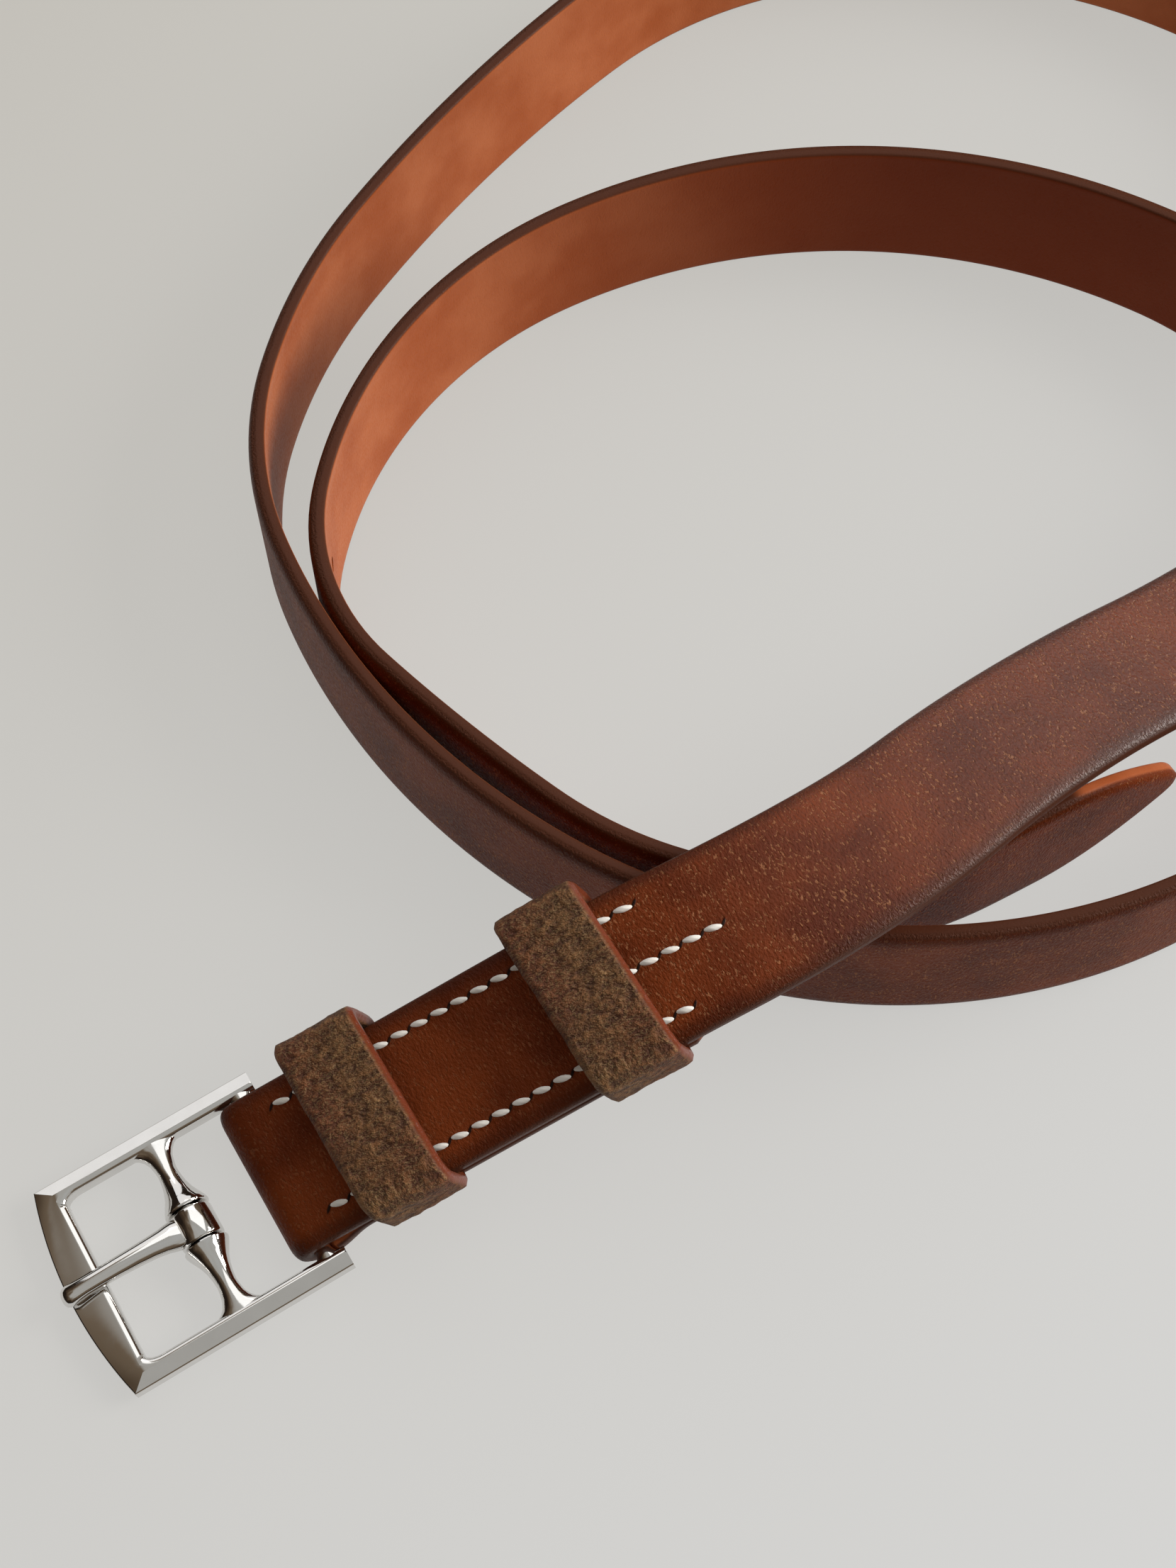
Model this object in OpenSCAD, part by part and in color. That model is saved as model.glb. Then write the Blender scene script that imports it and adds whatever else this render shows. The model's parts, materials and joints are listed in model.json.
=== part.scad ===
// A leather belt lying loosely coiled on its edge, with a metal buckle at one end.
// Millimetres. +Z up from the table. The fold that carries the buckle lies nearest -X -Y.

/* [Strap] */

// From the fold round the buckle to the tip
belt_length = 1275; // [1150:5:1340]

// Across the strap
strap_width = 25; // [20:1:40]

// One layer of leather
leather = 2.8; // [2:0.1:3]

// Length of the tapered tip
tip_length = 24; // [12:1:40]

/* [Holes] */

// How many holes the tongue can use
hole_count = 5; // [3:1:9]

// Between two holes
hole_pitch = 20; // [15:1:30]

// From the tip to the first hole
hole_first = 85; // [60:1:120]

// Across a hole
hole_diameter = 3; // [2:0.1:5]

/* [Folded end] */

// How far the leather turned back under the strap reaches
turn_back = 76; // [70:1:90]

// Thickness of the leather turned back, once it is pared down
pared = 2; // [1:0.1:2.5]

/* [Keepers] */

// Along the strap
keeper_width = 13; // [8:1:20]

// Thickness of a keeper's leather
keeper_leather = 2.2; // [1.5:0.1:3]

// Free height over the strap, for the other end of the belt
keeper_room = 4.5; // [3:0.1:7]

/* [Stitches] */

// Between two stitches
stitch_pitch = 3.3; // [2.5:0.1:5]

// From the strap's side to the side rows
stitch_inset = 3.8; // [2.5:0.1:6]

// Thickness of the thread
thread = 0.8; // [0.5:0.1:1.2]

/* [Buckle] */

// From the bar in the fold to the inside of the front bar
buckle_reach = 28.6; // [24:0.1:45]

// From the bar in the fold to the bar that carries the tongue
tongue_bar_at = 14.2; // [12:0.1:20]

// Width of a side rail
rail_width = 3.2; // [2:0.1:5]

// Thickness of the buckle's frame
frame_thickness = 3.2; // [2:0.1:5]

// Diameter of the two round bars
bar_diameter = 3; // [2:0.1:4]

/* [Hidden] */

eps = 0.05;
run_gap = 0.05;                                   // between a bar and what turns on it
half = strap_width / 2;
bar_r = bar_diameter / 2;
under_top = bar_r + run_gap;                      // inside of the strap, above the bar
lift = under_top + leather / 2;                   // strap's middle above the bar in the fold
fold_r = under_top + leather;
bar_z = fold_r + 0.05;
bar_at = [-84.9, -106.1];                         // the bar in the fold, on the table's plan
heading = 24;                                     // the way the strap leaves the buckle
skew = 7;                                         // the buckle lies turned this much further

// The strap climbs straight from the fold, levels off over the turns it crosses,
// then sinks and rolls onto its edge to go round.
climb_to = 56;
level_by = 95;
first_crossing = 64;
clear_height = strap_width + 3.6;                 // the strap's middle where it first crosses
climb = asin((clear_height - bar_z - lift) / first_crossing);
sink = [221, 340];
roll = [216, 345];
lean = 16;                                        // it lies a little over to the left on the way
lean_in = [45, 140];
top_z = bar_z + lift * cos(climb) + sin(climb) * (climb_to + level_by) / 2;

// The bar stays level, so the fold is a little banked and its line runs askew
bank = asin(sin(climb) * sin(skew));
askew = tan(asin(cos(climb) * sin(skew)));

// The strap's way over the table from the buckle on: how far, and how many degrees to the left
route = [[70, 0], [40, 16], [40, -12], [58, 19], [60, 43], [80, 56], [80, 50], [40, 29],
    [70, 14], [35, 20], [35, 34], [70, 35], [105, 64], [35, 30], [70, 55], [35, 33],
    [105, 59], [70, 53], [35, 53], [35, 7], [70, 66], [60, 6], [80, 70]];
legs = len(route) - 1;
leg_start = [for (i = 0, s = 0; i <= legs; s = s + route[i][0], i = i + 1) s];

strap_end = belt_length - fold_r;
straight_end = 55;                                // the folded part is straight as far as this
join_at = 51.5;                                   // and holds the start of the bent part
keeper_front_at = 10.2;
keeper_back_at = 46.5;

leather_colour = [0.42, 0.22, 0.13];
keeper_colour = [0.36, 0.2, 0.11];
thread_colour = [0.9, 0.87, 0.8];
steel_colour = [0.8, 0.81, 0.83];

function clamp01(t) = min(1, max(0, t));
function smooth(t) = let (c = clamp01(t)) c * c * (3 - 2 * c);
function sum(v, i = 0) = i < len(v) ? v[i] + sum(v, i + 1) : 0;
function level(degrees) = [cos(degrees), sin(degrees)];

function way(s) = heading
    + sum([for (i = [0:legs]) route[i][1] * clamp01((s - leg_start[i]) / route[i][0])]);

function climbed(s) =
    let (t = clamp01((s - climb_to) / (level_by - climb_to)))
    min(s, climb_to) + (level_by - climb_to) * (t - t * t / 2);

function height_at(s) = bar_z + lift * cos(climb) + sin(climb) * climbed(s)
    + (half - top_z) * smooth((s - sink[0]) / (sink[1] - sink[0]));

function roll_at(s) = bank
    - (lean + bank) * smooth((s - lean_in[0]) / (lean_in[1] - lean_in[0]))
    + (90 + lean) * smooth((s - roll[0]) / (roll[1] - roll[0]));

// Stations along the strap's middle, then their places
spacing = 7.5;
first_station = 52;
taper_start = strap_end - tip_length;
count = ceil((taper_start - first_station) / spacing);
stations = concat([0],
    [for (i = [0:count]) first_station + (taper_start - first_station) * i / count],
    [for (t = [0.25, 0.5, 0.75, 0.9, 1]) taper_start + tip_length * t]);
last = len(stations) - 1;
start = bar_at - lift * (sin(climb) * level(heading) + sin(bank) * level(heading + 90));

function step_to(i) = i == last ? 0
    : sqrt(pow(stations[i + 1] - stations[i], 2) - pow(height_at(stations[i + 1]) - height_at(stations[i]), 2));
function mean_way(i) = way((stations[i] + stations[min(i + 1, last)]) / 2);
plan = [for (i = 0, p = start; i <= last; p = p + step_to(i) * level(mean_way(i)), i = i + 1) p];

function station_below(s) = max([for (i = [0:last - 1]) if (stations[i] <= s) i]);

// Frame at distance s: [place, along, left, out of the outer face]
function frame_at(s) =
    let (j = station_below(s),
        t = (s - stations[j]) / (stations[j + 1] - stations[j]),
        p = plan[j] + (plan[j + 1] - plan[j]) * t,
        z = height_at(stations[j]) + (height_at(stations[j + 1]) - height_at(stations[j])) * t,
        h = way(s),
        g = asin(height_at(s + 0.5) - height_at(s - 0.5)),
        r = roll_at(s),
        along = [cos(h) * cos(g), sin(h) * cos(g), sin(g)],
        side = [-sin(h), cos(h), 0],
        up = cross(along, side))
    [[p[0], p[1], z], along, side * cos(r) + up * sin(r), up * cos(r) - side * sin(r)];

module on_strap(s) {
    f = frame_at(s);
    multmatrix([[f[1][0], f[2][0], f[3][0], f[0][0]],
        [f[1][1], f[2][1], f[3][1], f[0][1]],
        [f[1][2], f[2][2], f[3][2], f[0][2]]]) children();
}

// The strap's section: rounded shoulders on the outer face, small ones inside
shoulder_in = 1.6;
shoulder_down = 0.8;

function section(w, t) =
    let (o = min(shoulder_in, w / 3), i = min(0.5, w / 4))
    [[-w, -t + i], [-w + i, -t], [w - i, -t], [w, -t + i],
        [w, t - shoulder_down], [w - o, t], [-w + o, t], [-w, t - shoulder_down]];

// rows: [distance, section]
module ribbon(rows) {
    n = len(rows[0][1]);
    m = len(rows) - 1;
    points = [for (r = rows) let (f = frame_at(r[0])) for (q = r[1]) f[0] + f[2] * q[0] + f[3] * q[1]];
    sides = [for (i = [0:m - 1]) for (k = [0:n - 1]) for (h = [0, 1])
        let (a = i * n + k, b = i * n + (k + 1) % n)
        h == 0 ? [a, a + n, b] : [b, a + n, b + n]];
    ends = [[for (k = [0:n - 1]) k], [for (k = [n - 1:-1:0]) m * n + k]];
    polyhedron(points, concat(ends, sides), convexity = 10);
}

// At the bar in the fold: x along the strap, y to its left, z out of it
module at_bar() {
    translate([bar_at[0], bar_at[1], bar_z]) rotate([0, 0, heading]) rotate([0, -climb, 0]) rotate([bank, 0, 0])
        multmatrix([[1, -askew, 0, 0], [0, 1, 0, 0], [0, 0, 1, 0]]) children();
}

// Lays a drawing of (x, z), then one of (y, z), into place
module across(w) {
    rotate([90, 0, 0]) linear_extrude(w, center = true) children();
}

module along(from, to) {
    translate([from, 0, 0]) rotate([90, 0, 90]) linear_extrude(to - from) children();
}

/* Strap */

// Half the width of the strap at a part t of its tip (0 where the taper starts, 1 at the end)
function tip_half(t) = half * (1 - 0.88 * pow(t, 1.9));

// The leather turned back: it closes up under the strap, then ends in a point
function back_top(x) = -under_top + 2 * under_top * smooth((x - 0.3) / 6.5);
function back_bottom(x) = -fold_r + (fold_r + under_top - pared) * smooth((x - 0.5) / 8);

// [distance, cut from each side, pared from below]
back_rows = [[46, 0.04, 0], [57, 0, 0], [62, 0, 0], [66.5, 3, 0.2], [70, 6.3, 0.4], [73.5, 9.8, 0.6],
    [turn_back - 0.6, 11.3, 0.8]];
back_chamfer = 0.3;

function back_section(cut, raise) =
    let (w = half - cut, low = -leather / 2 - pared + 0.02 + raise, top = back_chamfer - leather / 2)
    [[-w, low + back_chamfer], [-w + back_chamfer, low], [w - back_chamfer, low],
        [w, low + back_chamfer], [w, top], [-w, top]];

module fold_profile() {
    back_end = straight_end - 5;
    polygon(concat(
        [[straight_end, under_top], [straight_end, fold_r]],
        [for (a = [90:10:270]) fold_r * [cos(a), sin(a)]],
        [for (x = [1:1:9]) [x, back_bottom(x)]],
        [[back_end, under_top - pared], [back_end, under_top - 0.2], [back_end, under_top]]));
}

module fold_space() {
    polygon(concat([[6.8, under_top], [0, under_top]],
        [for (a = [100:10:260]) under_top * 1.004 * [cos(a), sin(a)]],
        [for (x = [0:0.8:6.4]) [x, back_top(x)]]));
}

module shoulder(side) {
    beyond = 1;
    slope = shoulder_down / shoulder_in;
    outline = [[half - shoulder_in, fold_r], [half + beyond, fold_r - slope * (shoulder_in + beyond)],
        [half + beyond, fold_r + beyond], [half - shoulder_in, fold_r + beyond]];
    along(-6, straight_end + 1) polygon([for (q = outline) [side * q[0], q[1]]]);
}

module keeper_pocket(at) {
    for (side = [-1, 1])
        translate([at - eps, side > 0 ? 2.4 : -half - 1, under_top - foot - eps])
            cube([keeper_width + 2 * eps, half - 1.4, foot + eps]);
}

module strap() color(leather_colour) difference() {
    union() {
        at_bar() difference() {
            across(strap_width) difference() {
                fold_profile();
                fold_space();
            }
            shoulder(1);
            shoulder(-1);
        }
        ribbon(concat(
            [[join_at, section(half - eps, leather / 2 - eps)], [57, section(half, leather / 2)]],
            [for (s = stations) if (s > 60)
                [s, section(tip_half(clamp01((s - taper_start) / tip_length)), leather / 2)]]));
        ribbon([for (r = back_rows) [r[0], back_section(r[1], r[2])]]);
    }
    at_bar() {
        keeper_pocket(keeper_front_at);
        keeper_pocket(keeper_back_at);
    }
    for (i = [0:hole_count - 1])
        on_strap(strap_end - hole_first - i * hole_pitch)
            cylinder(d = hole_diameter, h = 3 * leather, center = true, $fn = 32);
}

/* Keepers */

foot = 1;                                         // thickness of the pared feet sewn into the fold

module keeper(at) color(keeper_colour) at_bar() along(at, at + keeper_width) {
    w = half + 0.25;
    top = fold_r + keeper_room;
    difference() {
        offset(r = 3, $fn = 48) offset(delta = -3)
            translate([-w - keeper_leather, under_top - foot])
                square([2 * (w + keeper_leather), top + keeper_leather - under_top + foot]);
        offset(r = 1.2, $fn = 48) offset(delta = -1.2)
            translate([-w, -10]) square([2 * w, top + 10]);
    }
    for (side = [-1, 1])
        translate([side > 0 ? 2.5 : -w - 1, under_top - foot]) square([w - 1.5, foot - eps]);
}

module keeper_front() keeper(keeper_front_at);
module keeper_back() keeper(keeper_back_at);

/* Stitches */

// count stitches from a distance on, side of the strap's middle: bars over and under,
// joined through the leather. The rows start level with the fold's line.
module stitch_row(first, count, side) color(thread_colour) {
    lay = atan(0.7 / stitch_pitch);
    for (i = [0:count]) {
        s = first - askew * side + i * stitch_pitch;
        low = bottom_at(s);
        on_strap(s) {
            translate([0, side, low]) cylinder(d = thread * 0.8, h = leather / 2 + 0.1 - low, $fn = 8);
            if (i < count) for (level = [leather / 2, low])
                translate([0, side, level]) rotate([0, 90, level > 0 ? lay : -lay]) translate([0, 0, -0.3])
                    rotate(22.5) cylinder(d = thread, h = stitch_pitch + 0.5, $fn = 8);
        }
    }
}

// The underside of the turned-back leather, measured from the strap's middle
function bottom_at(s) = s < 8 ? back_bottom(s) - lift
    : -leather / 2 - pared + 0.02 + 0.8 * smooth((s - 62) / 12);

module stitch_row_left() stitch_row(4.6, 18, half - stitch_inset);
module stitch_row_right() stitch_row(4.6, 18, stitch_inset - half);
module stitch_row_middle() stitch_row(46.8, 8, 0);

/* Buckle */

inside = half + 1.05;
outside = inside + rail_width;
rail_back = 2.4;                                  // how far a rail reaches past the bar
bevel = 0.8;
front_bow = 2.2;                                  // how far the front bar bows out
front_corner = buckle_reach + rail_width + 0.3;
bow_r = (outside * outside + front_bow * front_bow) / (2 * front_bow);
cone_r = 3.4;
cone_length = 6.5;
barrel_r = 3.25;
barrel_half = 2.6;
dip = asin((bar_z - cone_r - 0.1) / tongue_bar_at);   // the frame lies down to the table in front

// x away from the strap, y across, z up
module at_buckle() {
    translate([bar_at[0], bar_at[1], bar_z]) rotate([0, 0, heading + skew + 180]) rotate([0, dip, 0]) children();
}

module frame_outline() {
    offset(r = bevel, $fn = 24) offset(delta = -bevel) intersection() {
        translate([-rail_back, -outside]) square([60, 2 * outside]);
        translate([front_corner + front_bow - bow_r, 0]) circle(r = bow_r, $fn = 180);
    }
}

module bar(r) {
    rotate([90, 0, 0]) cylinder(r = r, h = 2 * inside + 1, center = true, $fn = 48);
}

module buckle_frame() color(steel_colour) at_buckle() {
    flank = frame_thickness - 1.8;
    difference() {
        hull() {
            translate([0, 0, -flank / 2]) linear_extrude(flank) frame_outline();
            translate([0, 0, -frame_thickness / 2])
                linear_extrude(frame_thickness) offset(delta = -bevel) frame_outline();
        }
        translate([0, 0, -frame_thickness]) linear_extrude(2 * frame_thickness)
            offset(r = 2.5, $fn = 32) offset(delta = -2.5)
                translate([-20, -inside]) square([20 + buckle_reach, 2 * inside]);
    }
    bar(bar_r);
    translate([tongue_bar_at, 0, 0]) {
        bar(bar_r);
        for (side = [-1, 1]) rotate([-90 * side, 0, 0])
            translate([0, 0, barrel_half + 0.15])
                cylinder(r1 = cone_r, r2 = bar_r + 0.1, h = cone_length, $fn = 48);
    }
}

/* Tongue */

rest = frame_thickness / 2 + 0.05;                // the tongue lies on the front bar
reach = front_corner + front_bow - tongue_bar_at;

module tongue_side() {
    polygon([[2.2, 0.2], [5, 0.9], [9, 1.5], [reach - 6, rest], [reach - 0.7, rest],
        [reach + 0.3, rest - 0.6], [reach + 0.9, rest - 0.5], [reach + 1.3, rest + 0.1],
        [reach + 0.8, rest + 1.2], [reach - 1, rest + 2], [reach - 6, rest + 2.5],
        [9, 3.9], [4, 3.6], [0, barrel_r - 0.05], [1.6, 1]]);
}

module tongue_plan() {
    tip = reach + 2;
    polygon([[-4, -2.6], [3, -2.6], [6, -2.2], [11, -1.7], [tip - 2.5, -1.7], [tip - 1, -1.1], [tip, -0.4],
        [tip, 0.4], [tip - 1, 1.1], [tip - 2.5, 1.7], [11, 1.7], [6, 2.2], [3, 2.6], [-4, 2.6]]);
}

module tongue() color(steel_colour) at_buckle() translate([tongue_bar_at, 0, 0]) difference() {
    union() {
        rotate([90, 0, 0]) cylinder(r = barrel_r, h = 2 * barrel_half, center = true, $fn = 48);
        intersection() {
            across(8) tongue_side();
            translate([0, 0, -4]) linear_extrude(12) tongue_plan();
        }
    }
    rotate([90, 0, 0]) cylinder(r = bar_r + run_gap, h = 20, center = true, $fn = 48);
}

strap();
keeper_front();
keeper_back();
stitch_row_left();
stitch_row_right();
stitch_row_middle();
buckle_frame();
tongue();
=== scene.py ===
# %% [markdown]
# # A leather belt, coiled on its edge
# The belt is one long cut of leather, folded round the bar of a small polished buckle and
# sewn. We cut and stitch everything flat, as on a bench, then lay the flat work along the
# belt's way over the table. The packed design gives the places, and every size is in metres.

import json
import math

import bmesh
import bpy
from mathutils import Matrix, Vector, noise


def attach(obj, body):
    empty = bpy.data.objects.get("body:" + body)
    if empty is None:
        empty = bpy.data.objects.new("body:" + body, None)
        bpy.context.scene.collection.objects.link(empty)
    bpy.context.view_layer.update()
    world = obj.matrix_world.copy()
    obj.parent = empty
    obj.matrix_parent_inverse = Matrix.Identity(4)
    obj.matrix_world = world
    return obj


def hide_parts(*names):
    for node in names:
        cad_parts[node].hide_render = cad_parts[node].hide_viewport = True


MM = 0.001
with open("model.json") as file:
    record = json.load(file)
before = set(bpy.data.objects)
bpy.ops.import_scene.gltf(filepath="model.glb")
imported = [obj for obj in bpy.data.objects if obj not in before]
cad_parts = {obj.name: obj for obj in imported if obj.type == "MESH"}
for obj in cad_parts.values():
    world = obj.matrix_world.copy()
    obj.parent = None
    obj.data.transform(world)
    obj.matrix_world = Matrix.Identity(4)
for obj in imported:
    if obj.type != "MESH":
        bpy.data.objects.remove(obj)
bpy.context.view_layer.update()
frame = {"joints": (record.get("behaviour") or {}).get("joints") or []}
joints = {joint["name"]: joint for joint in frame["joints"]}

# %% [markdown]
# ## The view
# The camera stands over the near side and looks down steeply, so the strap comes up from the
# buckle at the lower left and leaves on the right. It comes first, because every later choice
# of light and finish is judged through it. The lens is given on the long side of the frame.

# %% Camera
PITCH = math.radians(62.5)
CAMERA_AT = Vector((-41.4, -211.1, 328)) * MM

camera = bpy.data.cameras.new("view")
camera.lens = 53.7
camera.sensor_width = 36
camera.clip_start = 0.01
camera_object = bpy.data.objects.new("view", camera)
camera_object.location = CAMERA_AT
camera_object.rotation_euler = (math.pi / 2 - PITCH, 0, 0)
bpy.context.scene.collection.objects.link(camera_object)
bpy.context.scene.camera = camera_object
bpy.context.scene.view_settings.view_transform = "Standard"
print("camera at", tuple(round(v, 3) for v in CAMERA_AT))

# %% [markdown]
# ## The table
# The belt lies on a pale, plain surface. It could be a white plane under strong lights, but
# then its shadows turn hard and grey. Here most of its brightness is its own, a soft ramp from
# one side to the other, and it takes only a little from the lights. So contact shadows stay
# faint, and the level of the background doesn't change when a light does.

# %% Table
def new_nodes(owner):
    owner.use_nodes = True
    return owner.node_tree


def table_material():
    """Pale paper that glows a little itself, so shadows on it stay faint."""
    material = bpy.data.materials.new("pale_table")
    tree = new_nodes(material)
    shader = tree.nodes["Principled BSDF"]
    where = tree.nodes.new("ShaderNodeTexCoord")
    turn = tree.nodes.new("ShaderNodeMapping")
    turn.inputs["Rotation"].default_value = (0, 0, math.radians(50))
    turn.inputs["Scale"].default_value = (2.2, 2.2, 2.2)
    turn.inputs["Location"].default_value = (0.5, 0, 0)
    split = tree.nodes.new("ShaderNodeSeparateXYZ")
    tone = tree.nodes.new("ShaderNodeValToRGB")
    tone.color_ramp.elements[0].color = (0.455, 0.435, 0.395, 1)
    tone.color_ramp.elements[1].color = (0.600, 0.602, 0.600, 1)
    tree.links.new(where.outputs["Object"], turn.inputs[0])
    tree.links.new(turn.outputs[0], split.inputs[0])
    tree.links.new(split.outputs["X"], tone.inputs[0])
    tree.links.new(tone.outputs[0], shader.inputs["Emission Color"])
    shader.inputs["Emission Strength"].default_value = 1.0
    shader.inputs["Base Color"].default_value = (0.09, 0.09, 0.088, 1)
    shader.inputs["Roughness"].default_value = 0.8
    shader.inputs["Specular IOR Level"].default_value = 0.1
    return material


def floor():
    bm = bmesh.new()
    bmesh.ops.create_grid(bm, x_segments=1, y_segments=1, size=3)
    mesh = bpy.data.meshes.new("table_top")
    bm.to_mesh(mesh)
    bm.free()
    mesh.transform(Matrix.Translation((0, 0, -0.2 * MM)))
    mesh.materials.append(table_material())
    plane = bpy.data.objects.new("table_top", mesh)
    bpy.context.scene.collection.objects.link(plane)


floor()

# %% [markdown]
# ## Window light
# The main light comes rather low from the right, so the inner faces on the left glow and the
# inner turn shades the outer one. Two wide, weaker lights behind and above it draw the sheen
# on the flat stretch of the strap. A rectangle lamp is used for each, because a window's soft
# shadow comes from its size, and the brightness is given per area so the size can be changed.

# %% Lights
def soft_light(name, place, size, brightness, colour=(1, 1, 1)):
    """A window: a rectangle of even brightness that looks at the belt."""
    light = bpy.data.lights.new(name, "AREA")
    light.shape = "RECTANGLE"
    light.size, light.size_y = size
    light.energy = brightness * math.pi * size[0] * size[1]
    light.color = colour
    lamp = bpy.data.objects.new(name, light)
    lamp.location = place
    lamp.rotation_euler = (-Vector(place)).to_track_quat("-Z", "Y").to_euler()
    bpy.context.scene.collection.objects.link(lamp)


soft_light("right_window", (0.95, 0.12, 0.62), (0.7, 0.6), 10.5, (1.0, 0.97, 0.93))
soft_light("back_window", (-0.45, 0.95, 0.72), (1.1, 0.8), 0.95)
soft_light("ceiling", (0.05, 0.62, 1.15), (1.2, 0.9), 0.9)

# %% [markdown]
# ## The room in the metal
# Polished metal shows only what surrounds it. An even grey world would make the buckle look
# like plastic, so the world has a pale ceiling, a dark floor side and brown patches between
# them, as a furnished room has. A slow noise breaks up the steps between the tones.

# %% Room
def room():
    """A room for the metal to mirror: dark low down, brown on the left, pale overhead."""
    world = bpy.data.worlds.new("room")
    bpy.context.scene.world = world
    tree = new_nodes(world)
    where = tree.nodes.new("ShaderNodeTexCoord")
    lean = tree.nodes.new("ShaderNodeVectorMath")
    lean.operation = "DOT_PRODUCT"
    lean.inputs[1].default_value = (0.24, 0.0, 0.66)
    patches = tree.nodes.new("ShaderNodeTexNoise")
    patches.inputs["Scale"].default_value = 2.4
    patches.inputs["Detail"].default_value = 1.5
    shift = tree.nodes.new("ShaderNodeMath")
    shift.operation = "MULTIPLY_ADD"
    shift.inputs[1].default_value = 0.55
    tone = tree.nodes.new("ShaderNodeValToRGB")
    ramp = tone.color_ramp
    ramp.elements[0].position, ramp.elements[0].color = 0.38, (0.025, 0.017, 0.012, 1)
    ramp.elements[1].position, ramp.elements[1].color = 1.0, (0.66, 0.66, 0.64, 1)
    dark_brown, tan, pale = (0.085, 0.055, 0.033, 1), (0.23, 0.17, 0.115, 1), (0.60, 0.58, 0.54, 1)
    for spot, colour in ((0.56, dark_brown), (0.70, tan), (0.78, pale)):
        ramp.elements.new(spot).color = colour
    tree.links.new(where.outputs["Generated"], lean.inputs[0])
    tree.links.new(where.outputs["Generated"], patches.inputs["Vector"])
    tree.links.new(patches.outputs["Fac"], shift.inputs[0])
    tree.links.new(lean.outputs["Value"], shift.inputs[2])
    tree.links.new(shift.outputs[0], tone.inputs[0])
    tree.links.new(tone.outputs[0], tree.nodes["Background"].inputs["Color"])
    tree.nodes["Background"].inputs["Strength"].default_value = 0.7


room()
print("world:", bpy.context.scene.world.name)

# %% [markdown]
# ## Sizes
# These are the belt's own driving sizes. The places of the two bars come from the design's
# hinges, so the leather and the metal meet without any fitting.

# %% Sizes
LENGTH = 1275 * MM
WIDTH = 25 * MM
LEATHER = 2.8 * MM
PARED = 2.0 * MM
TURN_BACK = 76 * MM
TIP = 24 * MM
HOLE_FIRST, HOLE_PITCH, HOLES, HOLE_WIDTH = 85 * MM, 20 * MM, 5, 3 * MM

BAR_RADIUS = 1.5 * MM
RUN_GAP = 0.05 * MM
LIFT = BAR_RADIUS + RUN_GAP + LEATHER / 2       # the strap's middle above the bar in the fold
HALF = WIDTH / 2
FOLD_LENGTH = math.pi * LIFT
STRAP_END = LENGTH - LIFT - LEATHER / 2

fold_bar = Vector(joints["buckle_swing"]["pos_m"])
tongue_bar = Vector(joints["tongue_swing"]["pos_m"])
print("bars at", tuple(fold_bar), tuple(tongue_bar))

# %% [markdown]
# ## The strap's way over the table
# The leather climbs from the buckle, levels off over the turns it crosses, then sinks and
# rolls onto its edge to go round. The turns are a short list of stretches: how far, and how
# many degrees to the left. Height and roll are smooth steps between a few distances, because
# a strap eases from one lie into the next and shows no corner.

# %% Route
HEADING = 24
SKEW = math.radians(7)                          # the buckle lies turned this much further
CLIMB_TO, LEVEL_BY = 56 * MM, 95 * MM
ASKEW_UNTIL, ASKEW_FADE = 56 * MM, 20 * MM      # the flat work is sheared as far as this
FIRST_CROSSING = 64 * MM
CLEAR_HEIGHT = WIDTH + 3.6 * MM                 # the strap's middle where it first crosses a turn
CLIMB = math.asin((CLEAR_HEIGHT - fold_bar.z - LIFT) / FIRST_CROSSING)
BANK = math.asin(math.sin(CLIMB) * math.sin(SKEW))
ASKEW = math.tan(math.asin(math.cos(CLIMB) * math.sin(SKEW)))
SINK = (221 * MM, 340 * MM)
ROLL = (216 * MM, 345 * MM)
LEAN, LEAN_IN = 16, (45 * MM, 140 * MM)
ROUTE = [(70, 0), (40, 16), (40, -12), (58, 19), (60, 43), (80, 56), (80, 50), (40, 29),
         (70, 14), (35, 20), (35, 34), (70, 35), (105, 64), (35, 30), (70, 55), (35, 33),
         (105, 59), (70, 53), (35, 53), (35, 7), (70, 66), (60, 6), (80, 70)]


def clamp01(value):
    return min(1.0, max(0.0, value))


def smooth(value):
    value = clamp01(value)
    return value * value * (3 - 2 * value)


def way(s):
    """The heading in radians at a distance s along the strap."""
    turned, start = HEADING, 0
    for length, turn in ROUTE:
        turned += turn * clamp01((s - start) / (length * MM))
        start += length * MM
    return math.radians(turned)


def height(s):
    """The strap's middle over the table."""
    t = clamp01((s - CLIMB_TO) / (LEVEL_BY - CLIMB_TO))
    climbed = min(s, CLIMB_TO) + (LEVEL_BY - CLIMB_TO) * (t - t * t / 2)
    base = fold_bar.z + LIFT * math.cos(CLIMB)
    top = base + math.sin(CLIMB) * (CLIMB_TO + LEVEL_BY) / 2
    return base + math.sin(CLIMB) * climbed + (HALF - top) * smooth((s - SINK[0]) / (SINK[1] - SINK[0]))


def roll(s):
    lean = math.radians(LEAN)
    leaned = BANK - (lean + BANK) * smooth((s - LEAN_IN[0]) / (LEAN_IN[1] - LEAN_IN[0]))
    return leaned + (math.pi / 2 + lean) * smooth((s - ROLL[0]) / (ROLL[1] - ROLL[0]))


print("climbs at", round(math.degrees(CLIMB), 1), "degrees, banked", round(math.degrees(BANK), 1))

# %% [markdown]
# ## Walking the way
# Headings alone don't give places: each short step has to be added to the one before, as a
# surveyor would. Every station then holds a place and three directions, along the strap, to
# its left and out of its outer face. A point between two stations takes a blend of both.

# %% Stations
def heading_vector(heading):
    return Vector((math.cos(heading), math.sin(heading)))


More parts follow.
